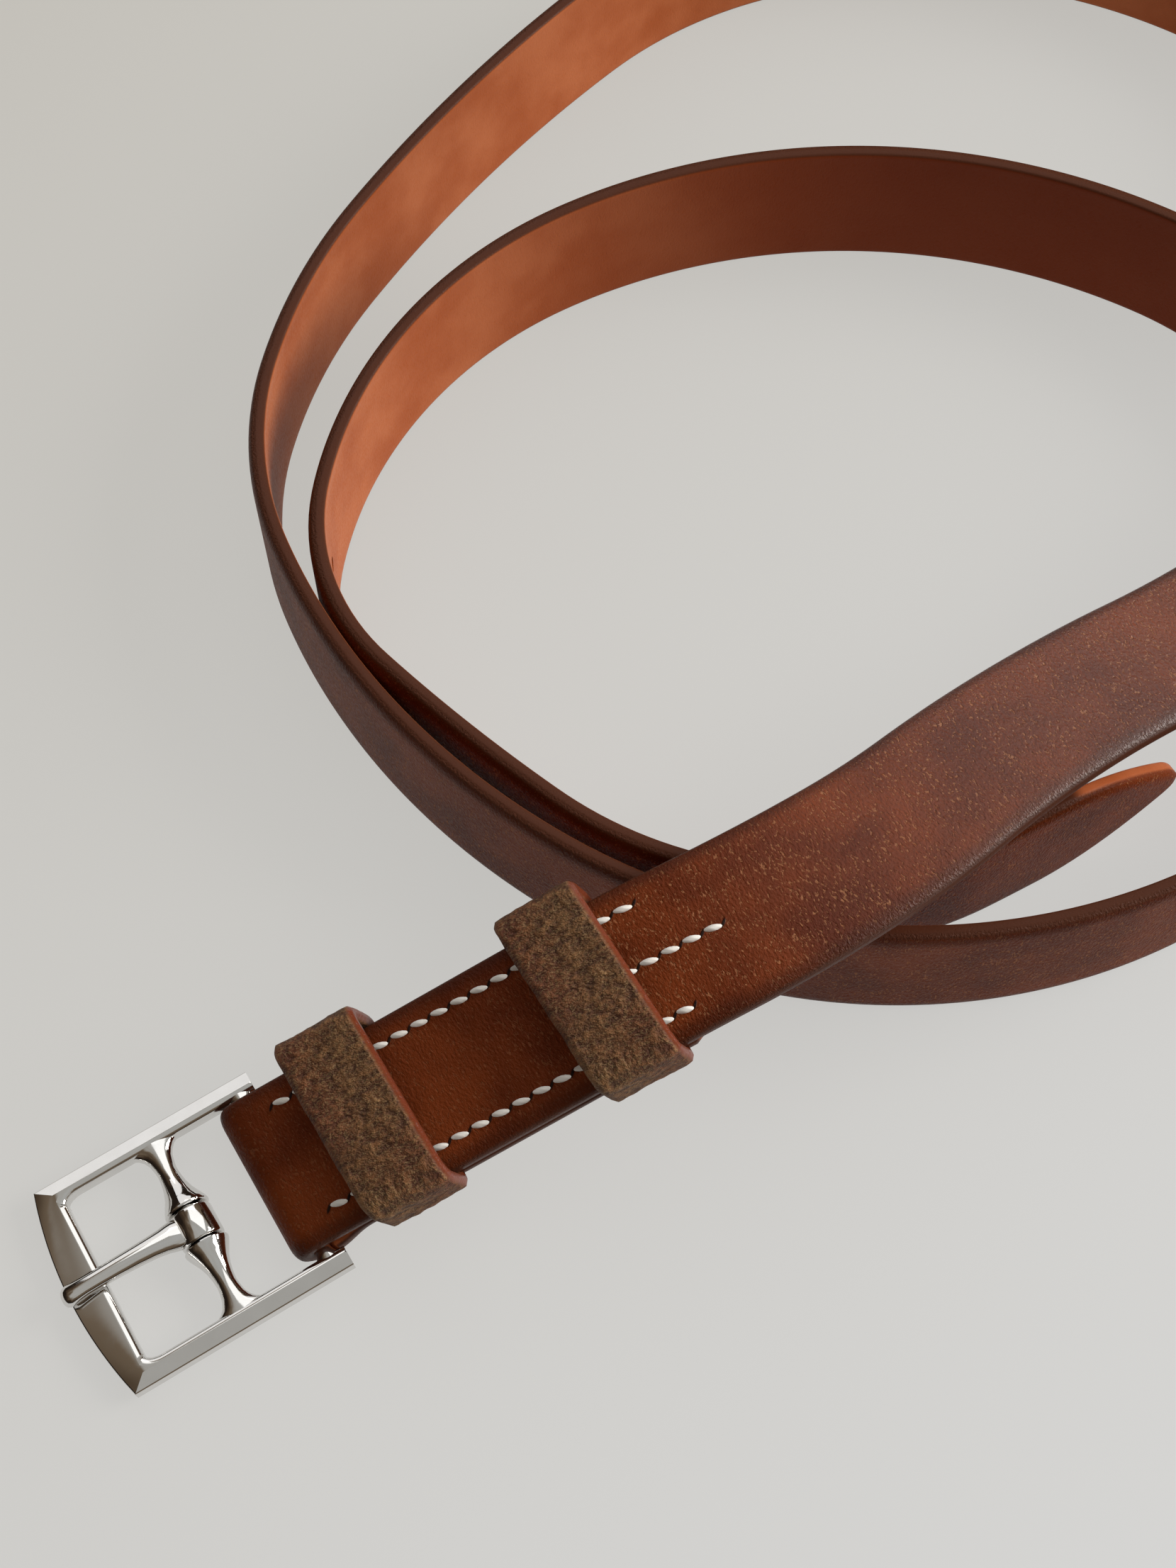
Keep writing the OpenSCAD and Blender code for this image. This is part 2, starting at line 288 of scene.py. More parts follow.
def walk(step):
    """Stations along the strap: (place, along, left, out of the outer face)."""
    aside = heading_vector(way(0) + math.pi / 2)
    at = fold_bar.xy - LIFT * (math.sin(CLIMB) * heading_vector(way(0)) + math.sin(BANK) * aside)
    made, s = [], 0.0
    while s <= STRAP_END + 2 * step:
        slope = math.asin((height(s + step / 4) - height(s - step / 4)) / (step / 2))
        ahead, turn = heading_vector(way(s)), roll(s)
        along = Vector((*(ahead * math.cos(slope)), math.sin(slope)))
        side = Vector((-ahead.y, ahead.x, 0))
        up = along.cross(side)
        left = side * math.cos(turn) + up * math.sin(turn)
        out = up * math.cos(turn) - side * math.sin(turn)
        made.append((Vector((*at, height(s))), along, left, out))
        rise = height(s + step) - height(s)
        at = at + math.sqrt(step * step - rise * rise) * heading_vector(way(s + step / 2))
        s += step
    return made


def station_frame(s):
    """Place, along, left and out at s, blended between the two nearest stations."""
    i = min(int(s / STEP), len(stations) - 2)
    t = s / STEP - i
    return [a.lerp(b, t) for a, b in zip(stations[i], stations[i + 1])]


STEP = 2 * MM
stations = walk(STEP)
print(len(stations), "stations; tip near", tuple(round(v, 4) for v in stations[int(STRAP_END / STEP)][0]))

# %% [markdown]
# ## Laying flat work along the way
# Leather bends but hardly stretches, so everything is cut and stitched flat and then laid:
# the station gives the place, and the offset across and out is kept. Round the bar the frame
# turns on a circle, and past it the turned-back end closes up under the strap. The buckle
# lies a little askew to the strap, so the flat work near it is sheared by the same angle.

# %% Laying
FOLD_OPEN, FOLD_CLOSED = 0.5 * MM, 8 * MM       # past the bar, where the fold begins and ends to close
POINT_PARED, POINT_PARE, POINT_REACH = 0.8 * MM, 62 * MM, 12 * MM


def closing(back):
    """How far the turned-back end has closed up to the strap, from 0 to 1."""
    return smooth((back - FOLD_OPEN) / (FOLD_CLOSED - FOLD_OPEN))


def thickness(back):
    """How thick the leather is at a distance back from the bar along the turned-back end."""
    return (LEATHER + (PARED - LEATHER) * closing(back)
            - POINT_PARED * smooth((back - POINT_PARE) / POINT_REACH))


def layer_drop(back):
    """How far the middle of the turned-back end lies below the strap's middle."""
    return 2 * LIFT + (LEATHER / 2 + PARED / 2 - 2 * LIFT) * closing(back)


def askew(s):
    return ASKEW * (1 - smooth((s - ASKEW_UNTIL) / ASKEW_FADE))


def lay(point):
    """Where a point of the flat work goes: x along the strap from the bar, y left, z outwards."""
    s, y, z = point
    if s >= 0:
        place, along, left, out = station_frame(s)
        return place + left * y - along * (askew(s) * y) + out * z
    if s > -FOLD_LENGTH:
        place, along, left, out = station_frame(0)
        turned = -s / LIFT
        spoke = out * math.cos(turned) - along * math.sin(turned)
        return place - out * LIFT + left * y - along * (ASKEW * y) + spoke * (LIFT + z)
    back = -s - FOLD_LENGTH
    place, along, left, out = station_frame(back)
    return place + left * y - along * (askew(back) * y) - out * (layer_drop(back) + z)


print("the bar is at", tuple(round(v, 4) for v in lay((-FOLD_LENGTH / 2, 0, -LIFT))))

# %% [markdown]
# ## Placing nodes with short calls
# A finish is a recipe of many small nodes. Written out in full, each takes several lines for
# its sockets and links. A small helper places one node per call, takes either a number or
# another node's output for each socket, and keeps the recipe readable.

# %% Node helpers
def new_group(name, inputs, outputs):
    group = bpy.data.node_groups.new(name, "ShaderNodeTree")
    for label, kind, value in inputs:
        socket = group.interface.new_socket(label, in_out="INPUT", socket_type=kind)
        if value is not None:
            socket.default_value = value
    for label, kind in outputs:
        group.interface.new_socket(label, in_out="OUTPUT", socket_type=kind)
    return group, group.nodes.new("NodeGroupInput"), group.nodes.new("NodeGroupOutput")


class Sheet:
    """Places nodes in one tree with short calls, so a finish reads as a recipe."""

    def __init__(self, tree):
        self.tree = tree

    def node(self, kind, settings=None, **inputs):
        made = self.tree.nodes.new(kind)
        for key, value in (settings or {}).items():
            setattr(made, key, value)
        for key, value in inputs.items():
            self.put(made.inputs[key.replace("_", " ")], value)
        return made

    def put(self, socket, value):
        if isinstance(value, bpy.types.NodeSocket):
            self.tree.links.new(value, socket)
        else:
            socket.default_value = value

    def math(self, operation, *values, clamp=False):
        made = self.tree.nodes.new("ShaderNodeMath")
        made.operation, made.use_clamp = operation, clamp
        for socket, value in zip(made.inputs, values):
            self.put(socket, value)
        return made.outputs[0]

    def span(self, value, low, high, to_low=0.0, to_high=1.0):
        made = self.tree.nodes.new("ShaderNodeMapRange")
        made.interpolation_type = "SMOOTHSTEP"
        for socket, v in zip(made.inputs, (value, low, high, to_low, to_high)):
            self.put(socket, v)
        return made.outputs[0]

    def mix(self, factor, first, second):
        made = self.tree.nodes.new("ShaderNodeMix")
        made.data_type = "RGBA"
        self.put(made.inputs["Factor"], factor)
        self.put(made.inputs[6], first if isinstance(first, bpy.types.NodeSocket) else (*first, 1))
        self.put(made.inputs[7], second if isinstance(second, bpy.types.NodeSocket) else (*second, 1))
        return made.outputs[2]

    def noise(self, vector, scale, detail=2.0, roughness=0.5):
        return self.node("ShaderNodeTexNoise", None, Vector=vector, Scale=scale, Detail=detail,
                         Roughness=roughness).outputs["Fac"]

    def stretched(self, vector, scale):
        return self.node("ShaderNodeMapping", None, Vector=vector, Scale=scale).outputs[0]


print("the helper places:", [name for name in vars(Sheet) if not name.startswith("_")])

# %% [markdown]
# ## Shared effects for the finishes
# The strap and the keepers are both leather, and every row of stitches needs the same awl
# holes. Each such effect is a node group with named sockets, made once and given its own
# values in each place. A group only puts out colours, masks, values and heights, and each
# material keeps its own shader, so the finishes can be baked.

# %% Shared effects
def hide_group():
    """Cloudy dye, fine grain and pale torn fibres, for any face of leather."""
    group, take, give = new_group(
        "hide",
        [("Vector", "NodeSocketVector", None), ("Grain Size", "NodeSocketFloat", 0.0006),
         ("Fibre Share", "NodeSocketFloat", 0.3)],
        [("Cloud", "NodeSocketFloat"), ("Fibres", "NodeSocketFloat"), ("Grain", "NodeSocketFloat")])
    sheet = Sheet(group)
    where = take.outputs["Vector"]
    fine = sheet.math("DIVIDE", 1.0, take.outputs["Grain Size"])
    cloud = sheet.noise(where, 55.0, 3.0, 0.6)
    patches = sheet.noise(where, 210.0, 2.0)
    leaning = sheet.stretched(where, (1.0, 0.55, 1.0))
    pebbles = sheet.noise(leaning, fine, 2.0, 0.6)
    torn = sheet.noise(sheet.stretched(where, (1.0, 0.5, 1.0)), sheet.math("MULTIPLY", fine, 1.2), 2.0)
    threshold = sheet.math("SUBTRACT", 0.78, sheet.math("MULTIPLY", take.outputs["Fibre Share"], 0.3))
    fibres = sheet.span(sheet.math("ADD", torn, sheet.math("MULTIPLY", patches, 0.12)),
                        threshold, sheet.math("ADD", threshold, 0.09))
    group.links.new(sheet.span(cloud, 0.3, 0.7), give.inputs["Cloud"])
    group.links.new(fibres, give.inputs["Fibres"])
    group.links.new(sheet.math("ADD", pebbles, sheet.math("MULTIPLY", fibres, 0.35)), give.inputs["Grain"])
    return group


def awl_group():
    """Slanted holes of an awl, one at each end of every stitch of one row."""
    group, take, give = new_group(
        "awl_holes",
        [("Along", "NodeSocketFloat", 0.0), ("Across", "NodeSocketFloat", 0.0),
         ("First", "NodeSocketFloat", 0.0), ("Last", "NodeSocketFloat", 0.0),
         ("Pitch", "NodeSocketFloat", 0.0033), ("Row", "NodeSocketFloat", 0.0)],
        [("Hole", "NodeSocketFloat"), ("Groove", "NodeSocketFloat")])
    sheet = Sheet(group)
    pitch, first = take.outputs["Pitch"], take.outputs["First"]
    off_row = sheet.math("SUBTRACT", take.outputs["Across"], take.outputs["Row"])
    slanted = sheet.math("SUBTRACT", take.outputs["Along"], sheet.math("MULTIPLY", off_row, 0.8))
    steps = sheet.math("DIVIDE", sheet.math("SUBTRACT", slanted, first), pitch)
    nearest = sheet.math("MULTIPLY", sheet.math("SUBTRACT", steps, sheet.math("ROUND", steps)), pitch)
    inside = sheet.math("MULTIPLY",
                        sheet.math("GREATER_THAN", slanted, sheet.math("SUBTRACT", first, 0.0006)),
                        sheet.math("LESS_THAN", slanted, sheet.math("ADD", take.outputs["Last"], 0.0006)))
    reach = sheet.math("SQRT", sheet.math("ADD",
                       sheet.math("POWER", sheet.math("MULTIPLY", nearest, 1.9), 2.0),
                       sheet.math("POWER", off_row, 2.0)))
    hole = sheet.span(reach, 0.0007, 0.0003)
    groove = sheet.span(sheet.math("ABSOLUTE", off_row), 0.0010, 0.0002)
    group.links.new(sheet.math("MULTIPLY", hole, inside), give.inputs["Hole"])
    group.links.new(sheet.math("MULTIPLY", groove, inside), give.inputs["Groove"])
    return group


HIDE = hide_group()
AWL = awl_group()
print("groups:", HIDE.name, AWL.name)

# %% [markdown]
# ## Where the stitches run
# Three rows hold the fold: one near each edge, and a short one that catches the point of the
# turned-back end. Their places are needed twice, by the finish that draws the awl holes and by
# the thread itself, so they are named here once, before either.

# %% Rows of stitches
STITCH_PITCH = 3.3 * MM
SIDE_ROW = HALF - 3.8 * MM
SIDE_FIRST, SIDE_COUNT = 4.6 * MM, 18
MIDDLE_FIRST, MIDDLE_COUNT = 46.8 * MM, 8
ROWS = {"left": (SIDE_FIRST, SIDE_COUNT, SIDE_ROW),
        "right": (SIDE_FIRST, SIDE_COUNT, -SIDE_ROW),
        "middle": (MIDDLE_FIRST, MIDDLE_COUNT, 0.0)}


print("rows:", {side: count for side, (_, count, _) in ROWS.items()})

# %% [markdown]
# ## The strap's leather
# Each leather piece carries an attribute named flat: where each point was on the bench. The
# finishes read it, so grain, dyed edges and awl holes follow the leather round every bend.
# The outer face is waxed red brown with pale torn fibres, and shines where hands rub it. The
# inner face is smooth and tan, and one stretch of it, where that turn faces away from the main
# light, is painted dark as painted shade. The cut edges are dyed dark, and the shoulders are
# painted darker as painted shade. A coat gives the shine, because wax lies on the dye.

# %% Strap leather
# Painted shade: the stretch of the inner face that faces away from the main light is painted dark.
SHADED_STRETCH = (760 * MM, 860 * MM, 965 * MM, 1075 * MM)     # where it begins, is full, fades and is gone
POLISHED = (60 * MM, 150 * MM, 210 * MM, 300 * MM)


def start_material(name):
    material = bpy.data.materials.new(name)
    material.use_nodes = True
    sheet = Sheet(material.node_tree)
    return material, sheet, material.node_tree.nodes["Principled BSDF"]


def flat_place(sheet):
    where = sheet.node("ShaderNodeAttribute", {"attribute_name": "flat"}).outputs["Vector"]
    parts = sheet.node("ShaderNodeSeparateXYZ", None, Vector=where).outputs
    return where, parts["X"], parts["Y"], parts["Z"]


def use(sheet, group, **inputs):
    made = sheet.node("ShaderNodeGroup", {"node_tree": group})
    for key, value in inputs.items():
        sheet.put(made.inputs[key.replace("_", " ")], value)
    return made.outputs


def stretch(sheet, along, limits):
    """1 on one stretch of the strap and 0 elsewhere, with soft ends."""
    begins, full, fades, gone = limits
    return sheet.math("MULTIPLY", sheet.span(along, begins, full), sheet.span(along, gone, fades))


def strap_leather():
    material, sheet, shader = start_material("strap_leather")
    where, along, across, out = flat_place(sheet)
    hide = use(sheet, HIDE, Vector=where, Grain_Size=0.00038, Fibre_Share=0.46)
    outer = sheet.span(out, -0.0001, 0.0006)
    side = sheet.math("ABSOLUTE", across)
    shoulder = sheet.span(side, HALF - 3.0 * MM, HALF - 0.7 * MM)
    edge = sheet.span(side, HALF - 0.55 * MM, HALF - 0.1 * MM)

    holes, grooves = 0.0, 0.0
    for first, count, row in ROWS.values():
        made = use(sheet, AWL, Along=along, Across=across, First=first,
                   Last=first + count * STITCH_PITCH, Pitch=STITCH_PITCH, Row=row)
        holes = sheet.math("MAXIMUM", holes, made["Hole"])
        grooves = sheet.math("MAXIMUM", grooves, made["Groove"])

    dyed = sheet.mix(hide["Cloud"], (0.100, 0.0165, 0.0030), (0.190, 0.037, 0.0075))
    torn = sheet.math("MULTIPLY", hide["Fibres"], sheet.span(along, 48 * MM, 66 * MM, 0.16, 0.5))
    fibred = sheet.mix(torn, dyed, (0.45, 0.20, 0.09))
    # Painted shade: the rounded shoulders are painted darker, as if turned away from the light.
    shaded = sheet.mix(sheet.math("MULTIPLY", shoulder, 0.6), fibred, (0.045, 0.010, 0.004))
    # Painted shade: each awl hole is painted near black, the shade that falls inside it.
    hole_shaded = sheet.mix(holes, shaded, (0.02, 0.008, 0.005))
    pale = sheet.mix(hide["Cloud"], (0.37, 0.088, 0.024), (0.47, 0.138, 0.050))
    # Painted shade on the inner face, over the stretch that faces away from the light.
    stretch_shade = sheet.math("MULTIPLY", stretch(sheet, along, SHADED_STRETCH), 0.9)
    flesh = sheet.mix(stretch_shade, pale, (0.165, 0.024, 0.003))
    faces = sheet.mix(outer, flesh, hole_shaded)
    colour = sheet.mix(edge, faces, (0.075, 0.024, 0.012))

    shader.inputs["Specular IOR Level"].default_value = 0.08
    shader.inputs["Coat Roughness"].default_value = 0.46
    shader.inputs["Coat IOR"].default_value = 1.7
    sheet.put(shader.inputs["Coat Weight"], sheet.math("MULTIPLY", outer, stretch(sheet, along, POLISHED)))
    sheet.put(shader.inputs["Base Color"], colour)
    rough = sheet.span(hide["Grain"], 0.2, 0.9, 0.38, 0.60)
    smoother = sheet.math("MULTIPLY", shoulder, 0.08)
    sheet.put(shader.inputs["Roughness"], sheet.math("SUBTRACT", rough, smoother))
    relief = sheet.math("MULTIPLY", hide["Grain"], sheet.span(out, -0.0001, 0.0006, 0.18, 1.0))
    pulled_in = sheet.math("ADD", sheet.math("MULTIPLY", holes, 2.5), sheet.math("MULTIPLY", grooves, 0.9))
    sunk = sheet.math("SUBTRACT", relief, pulled_in)
    bump = sheet.node("ShaderNodeBump", None, Height=sunk, Strength=0.75, Distance=0.00030)
    sheet.put(shader.inputs["Normal"], bump.outputs[0])
    sheet.put(shader.inputs["Coat Normal"], bump.outputs[0])
    return material


STRAP_LEATHER = strap_leather()
print("finish:", STRAP_LEATHER.name)

# %% [markdown]
# ## The keepers' leather
# The keepers are the same hide with its rough side out. The nap stands in small tufts, and
# the colour wanders from olive to red brown. The tops of the tufts are painted golden, partly
# the nap's own paler tips and partly a painted highlight, and the hollows between them are
# painted dark as painted shade. The same noise drives the colour and the relief, so the pale
# spots are the high ones. Along the far rim the nap is burnished smooth and red.

# %% Keeper leather
def keeper_leather():
    material, sheet, shader = start_material("keeper_leather")
    where, _, across, _ = flat_place(sheet)
    hide = use(sheet, HIDE, Vector=where, Grain_Size=0.00030, Fibre_Share=0.65)
    nap = sheet.noise(sheet.stretched(where, (1.0, 0.6, 1.0)), 900.0, 3.0, 0.6)
    # Painted highlight on the tuft tops and painted shade in the hollows between them, partly the nap's own
    # paler tips.
    tuft_highlight_and_shade = sheet.span(nap, 0.34, 0.70)
    olive = sheet.mix(tuft_highlight_and_shade, (0.075, 0.030, 0.010), (0.250, 0.120, 0.042))
    red = sheet.mix(tuft_highlight_and_shade, (0.085, 0.021, 0.007), (0.215, 0.070, 0.024))
    napped = sheet.mix(hide["Cloud"], olive, red)
    fibred = sheet.mix(sheet.math("MULTIPLY", hide["Fibres"], 0.25), napped, (0.46, 0.30, 0.13))
    burnish = sheet.span(across, 5.6 * MM, 6.3 * MM)
    colour = sheet.mix(burnish, fibred, (0.17, 0.036, 0.014))
    shader.inputs["Specular IOR Level"].default_value = 0.4
    sheet.put(shader.inputs["Base Color"], colour)
    smoother = sheet.math("MULTIPLY", burnish, 0.42)
    sheet.put(shader.inputs["Roughness"], sheet.math("SUBTRACT", 0.72, smoother))
    tufted = sheet.math("ADD", nap, sheet.math("MULTIPLY", hide["Grain"], 0.25))
    unburnished = sheet.math("SUBTRACT", 1.0, sheet.math("MULTIPLY", burnish, 0.8))
    relief = sheet.math("MULTIPLY", tufted, unburnished)
    bump = sheet.node("ShaderNodeBump", None, Height=relief, Strength=1.0, Distance=0.0012)
    sheet.put(shader.inputs["Normal"], bump.outputs[0])
    return material


KEEPER_LEATHER = keeper_leather()
print("finish:", KEEPER_LEATHER.name)

# %% [markdown]
# ## Waxed thread
# Linen thread is laid up from a few plies and drawn through wax. At this size the plies show
# only as faint slanting ridges, so a sine of the place along and across gives them as bump,
# and a fine noise wears the white here and there.

# %% Waxed thread
def waxed_thread():
    material, sheet, shader = start_material("waxed_thread")
    where, along, across, _ = flat_place(sheet)
    slanted = sheet.math("ADD", along, sheet.math("MULTIPLY", across, 1.2))
    ply = sheet.math("SINE", sheet.math("MULTIPLY", slanted, 7000.0))
    wear = sheet.noise(where, 900.0, 2.0)
    sheet.put(shader.inputs["Base Color"], sheet.mix(wear, (0.95, 0.93, 0.89), (0.86, 0.82, 0.75)))
    shader.inputs["Roughness"].default_value = 0.55
    bump = sheet.node("ShaderNodeBump", None, Height=ply, Strength=0.2, Distance=0.00006)
    sheet.put(shader.inputs["Normal"], bump.outputs[0])
    return material


THREAD = waxed_thread()
print("finish:", THREAD.name)

# %% [markdown]
# ## Polished metal
# The buckle and its tongue are cast and polished, then plated. A mirror needs no colour
# pattern, only faint haze from handling, so noise moves the roughness and a very low bump
# bends the reflections as hand polishing does.

# %% Metal material
def polished_metal():
    material, sheet, shader = start_material("polished_metal")
    where = sheet.node("ShaderNodeTexCoord").outputs["Object"]
    haze = sheet.noise(where, 260.0, 4.0, 0.6)
    ripple = sheet.noise(where, 120.0, 1.0)
    shader.inputs["Metallic"].default_value = 1.0
    sheet.put(shader.inputs["Base Color"], sheet.mix(haze, (0.80, 0.79, 0.775), (0.70, 0.69, 0.67)))
    sheet.put(shader.inputs["Roughness"], sheet.span(haze, 0.35, 0.75, 0.05, 0.13))
    bump = sheet.node("ShaderNodeBump", None, Height=ripple, Strength=0.25, Distance=0.00012)
    sheet.put(shader.inputs["Normal"], bump.outputs[0])
    return material


METAL = polished_metal()
print("finish:", METAL.name)

# %% [markdown]
# ## From bench mesh to piece
# Every finished mesh goes through the same last steps: its faces are turned outwards, edges
# flatter than a set angle are shaded smooth, and the object rides the body that moves it. The
# packed node it stands for is hidden, and the mesh gets its material.

# %% Finishing a piece
def to_piece(bm, name, body, material, node, crisp=math.radians(60)):
    """An object from bench work, riding a body and standing for one packed node."""
    bmesh.ops.recalc_face_normals(bm, faces=bm.faces)
    for face in bm.faces:
        face.smooth = True
    for edge in bm.edges:
        edge.smooth = not edge.is_manifold or edge.calc_face_angle() < crisp
    mesh = bpy.data.meshes.new(name)
    bm.to_mesh(mesh)
    bm.free()
    mesh.materials.append(material)
    piece = bpy.data.objects.new(name, mesh)
    bpy.context.scene.collection.objects.link(piece)
    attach(piece, body)
    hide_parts(node)
    print(name, "faces:", len(mesh.polygons))
    return piece


# %% [markdown]
# ## Turning, cutting and joining
# Metal parts are mostly turned, so a profile is spun into a round shape. Holes could be cut
# into the face lists by hand, but a Boolean with a punch is the same act as on the bench and
# keeps the flat faces round the hole clean.

# %% Workshop tools
def lathe(profile, steps=48):
    """A turned shape: (radius, height) points spun round +Z."""
    bm = bmesh.new()
    verts = [bm.verts.new((radius, 0, z)) for radius, z in profile]
    for a, b in zip(verts, verts[1:]):
        bm.edges.new((a, b))
    bmesh.ops.spin(bm, geom=bm.verts[:] + bm.edges[:], cent=(0, 0, 0), axis=(0, 0, 1),
                   angle=math.tau, steps=steps, use_merge=True)
    bmesh.ops.remove_doubles(bm, verts=bm.verts, dist=1e-7)
    return bm


def cut(bm, tool, operation="DIFFERENCE"):
    """The bench work after a Boolean with the tool's shape."""
    made = []
    for name, shape in (("work", bm), ("tool", tool)):
        mesh = bpy.data.meshes.new(name)
        shape.to_mesh(mesh)
        shape.free()
        made.append(bpy.data.objects.new(name, mesh))
        bpy.context.scene.collection.objects.link(made[-1])
    work, tool_object = made
    step = work.modifiers.new("cut", "BOOLEAN")
    step.operation, step.solver, step.object = operation, "EXACT", tool_object
    bpy.context.view_layer.update()
    result = bmesh.new()
    result.from_mesh(work.evaluated_get(bpy.context.evaluated_depsgraph_get()).to_mesh())
    for piece in made:
        mesh = piece.data
        bpy.data.objects.remove(piece)
        bpy.data.meshes.remove(mesh)
    return result


def join(bm, other):
    """Adds another bench mesh to this one."""
    mesh = bpy.data.meshes.new("part")
    other.to_mesh(mesh)
    other.free()
    bm.from_mesh(mesh)
    bpy.data.meshes.remove(mesh)


# %% [markdown]
# ## Pressing flat work into its lie
# The flat place of every point is stored just before it is laid, because the finishes read
# it. The same step serves the strap, the keepers and the thread. Only the keepers need the
# bar's own frame, since they stay on the straight stretch next to it.

# %% Pressing
def press(bm, places):
    """Stores the flat place of every point, then moves the points to where the work lies."""
    flat = bm.verts.layers.float_vector.get("flat") or bm.verts.layers.float_vector.new("flat")
    for vert in bm.verts:
        vert[flat] = vert.co
        vert.co = places(vert.co)


def bar_frame():
    """The frame at the bar in the fold, its x lying along the strap."""
    _, along, left, out = station_frame(0)
    return Matrix.Translation(fold_bar) @ Matrix((along, left, out)).transposed().to_4x4()


print("the strap leaves the bar towards", tuple(round(v, 3) for v in bar_frame().col[0].xyz))

# %% [markdown]
# ## The strap's outline
# A strap cutter gives one even width, then the tip is cut to a rounded point and the other
# end is pointed too, so it closes neatly under the stitches. The edges are rounded more on
# the outer face than on the inner one. These are formulas of the place along the strap and
# the distance in from the edge, so one smooth rule serves every point.

# %% Strap outline
ROUND_OUTER, ROUND_INNER = (2.3 * MM, 0.95 * MM), (0.7 * MM, 0.5 * MM)    # how far in, how deep
BACK_END = -(FOLD_LENGTH + TURN_BACK)
POINT, NOSE = 14 * MM, 2.6 * MM

EDGE_ROWS = [0, 0.1, 0.3, 0.6, 1.0, 1.6, 2.3, 4.0, 8.0]
rows = [-HALF + d * MM for d in EDGE_ROWS] + [0] + [HALF - d * MM for d in reversed(EDGE_ROWS)]


def columns():
    """Stations along the flat strap, close together at both ends and in the fold."""
    spots = [BACK_END + d * MM for d in (0, 0.1, 0.3, 0.6, 1, 1.6)]
    spots += [STRAP_END - d * MM for d in (0, 0.06, 0.2, 0.45, 0.8, 1.25, 1.8, 2.5, 3.4, 4.5, 5.7, 7)]
    x = BACK_END + 3 * MM
    while x < STRAP_END - 8 * MM:
        spots.append(x)
        x += (0.6 if -FOLD_LENGTH - 9 * MM < x < 3 * MM else 2.0) * MM
    return sorted(spots)


def half_width(x):
    """Half the width the strap is cut to at x."""
    t = clamp01((x - STRAP_END + TIP) / TIP)
    half = HALF * (1 - 0.86 * t ** 1.9)
    nose = clamp01((x - STRAP_END + NOSE) / NOSE)
    half *= math.sqrt(max(0.02, 1 - nose * nose * 0.98))
    b = clamp01((BACK_END + POINT - x) / POINT)
    return half * (1 - 0.93 * b) if b > 0 else half


def rounding(inset, size):
    reach, depth = size
    if inset >= reach:
        return 0.0
    t = 1 - inset / reach
    return depth * (1 - math.sqrt(1 - t * t * 0.999))


print("tip half width, 5 mm in:", round(half_width(STRAP_END - 5 * MM) / MM, 1), "mm")

# %% [markdown]
# ## Cutting and laying the strap
# A flat grid, thickened, is the blank. Its rows crowd at the edges and its columns at both
# ends and in the fold, where the shape bends most. The holes are punched while the blank is
# flat and square, then the outline is formed, and last of all it is laid along its way.

# %% Strap
def cut_strap():
    spots = columns()
    nx, ny = len(spots) - 1, len(rows) - 1
    bm = bmesh.new()
    bmesh.ops.create_grid(bm, x_segments=nx, y_segments=ny, size=0.5)
    for vert in bm.verts:
        column, row = round((vert.co.x + 0.5) * nx), round((vert.co.y + 0.5) * ny)
        vert.co = (spots[column], rows[row], LEATHER / 2)
    bmesh.ops.solidify(bm, geom=bm.faces, thickness=LEATHER)
    middle = sum(vert.co.z for vert in bm.verts) / len(bm.verts)
    bmesh.ops.translate(bm, verts=bm.verts, vec=(0, 0, -middle))
    return bm


def punches():
    tool = bmesh.new()
    for i in range(HOLES):
        place = Matrix.Translation((STRAP_END - HOLE_FIRST - i * HOLE_PITCH, 0, 0))
        bmesh.ops.create_cone(tool, cap_ends=True, segments=24, radius1=HOLE_WIDTH / 2,
                              radius2=HOLE_WIDTH / 2, depth=4 * LEATHER, matrix=place)
    return tool


def shape_strap(point):
    """The outline cut, the end pared and the edges rounded, all still flat."""
    x, y, z = point
    half = half_width(x)
    inset = HALF - abs(y)
    inset = half * (1 - (1 - min(inset / HALF, 1)) ** (HALF / half))
    thick = thickness(-x - FOLD_LENGTH)
    ends = min(x - BACK_END, STRAP_END - x)
    edge = min(inset, ends)
    level = 1 if z > 0 else -1
    size = ROUND_OUTER if level > 0 else ROUND_INNER
    top = abs(z) * thick / LEATHER - rounding(edge, size) * thick / LEATHER
    return Vector((x, math.copysign(half - inset, y), level * top))


strap_work = cut(cut_strap(), punches())
for vert in strap_work.verts:
    vert.co = shape_strap(vert.co)
press(strap_work, lay)
to_piece(strap_work, "strap", "strap_body", STRAP_LEATHER, "strap")

# %% [markdown]
# ## Bending a keeper
# A keeper is a short strip of rougher leather bent into a loop over the strap. Its thin feet
# go between the two layers, where the stitches hold them. The bend is worked out along the
# strip's middle, as straights and quarter circles, so the strip keeps its length.

# %% Keeper bend
KEEPER_WIDTH, KEEPER_LEATHER_THICK, FOOT = 13 * MM, 2.2 * MM, 1.0 * MM
KEEPER_ROOM, KEEPER_RIM = 4.5 * MM, (1.1 * MM, 0.75 * MM)     # room under it; how its rims are rounded
KEEPERS = {"keeper_front": 10.2 * MM, "keeper_back": 46.5 * MM}
SIDE_AT = HALF + 0.25 * MM + KEEPER_LEATHER_THICK / 2
TOP_AT = LIFT + LEATHER / 2 + KEEPER_ROOM + KEEPER_LEATHER_THICK / 2
TOP_BEND, FOOT_BEND = 2.3 * MM, 1.3 * MM
FOOT_AT = LIFT - LEATHER / 2 - 0.5 * FOOT
FOOT_END = 2.5 * MM
BENDS = [SIDE_AT - TOP_BEND, TOP_BEND * math.pi / 2, TOP_AT - TOP_BEND - FOOT_AT - FOOT_BEND,
         FOOT_BEND * math.pi / 2, SIDE_AT - FOOT_BEND - FOOT_END]
STRIP_HALF = sum(BENDS)


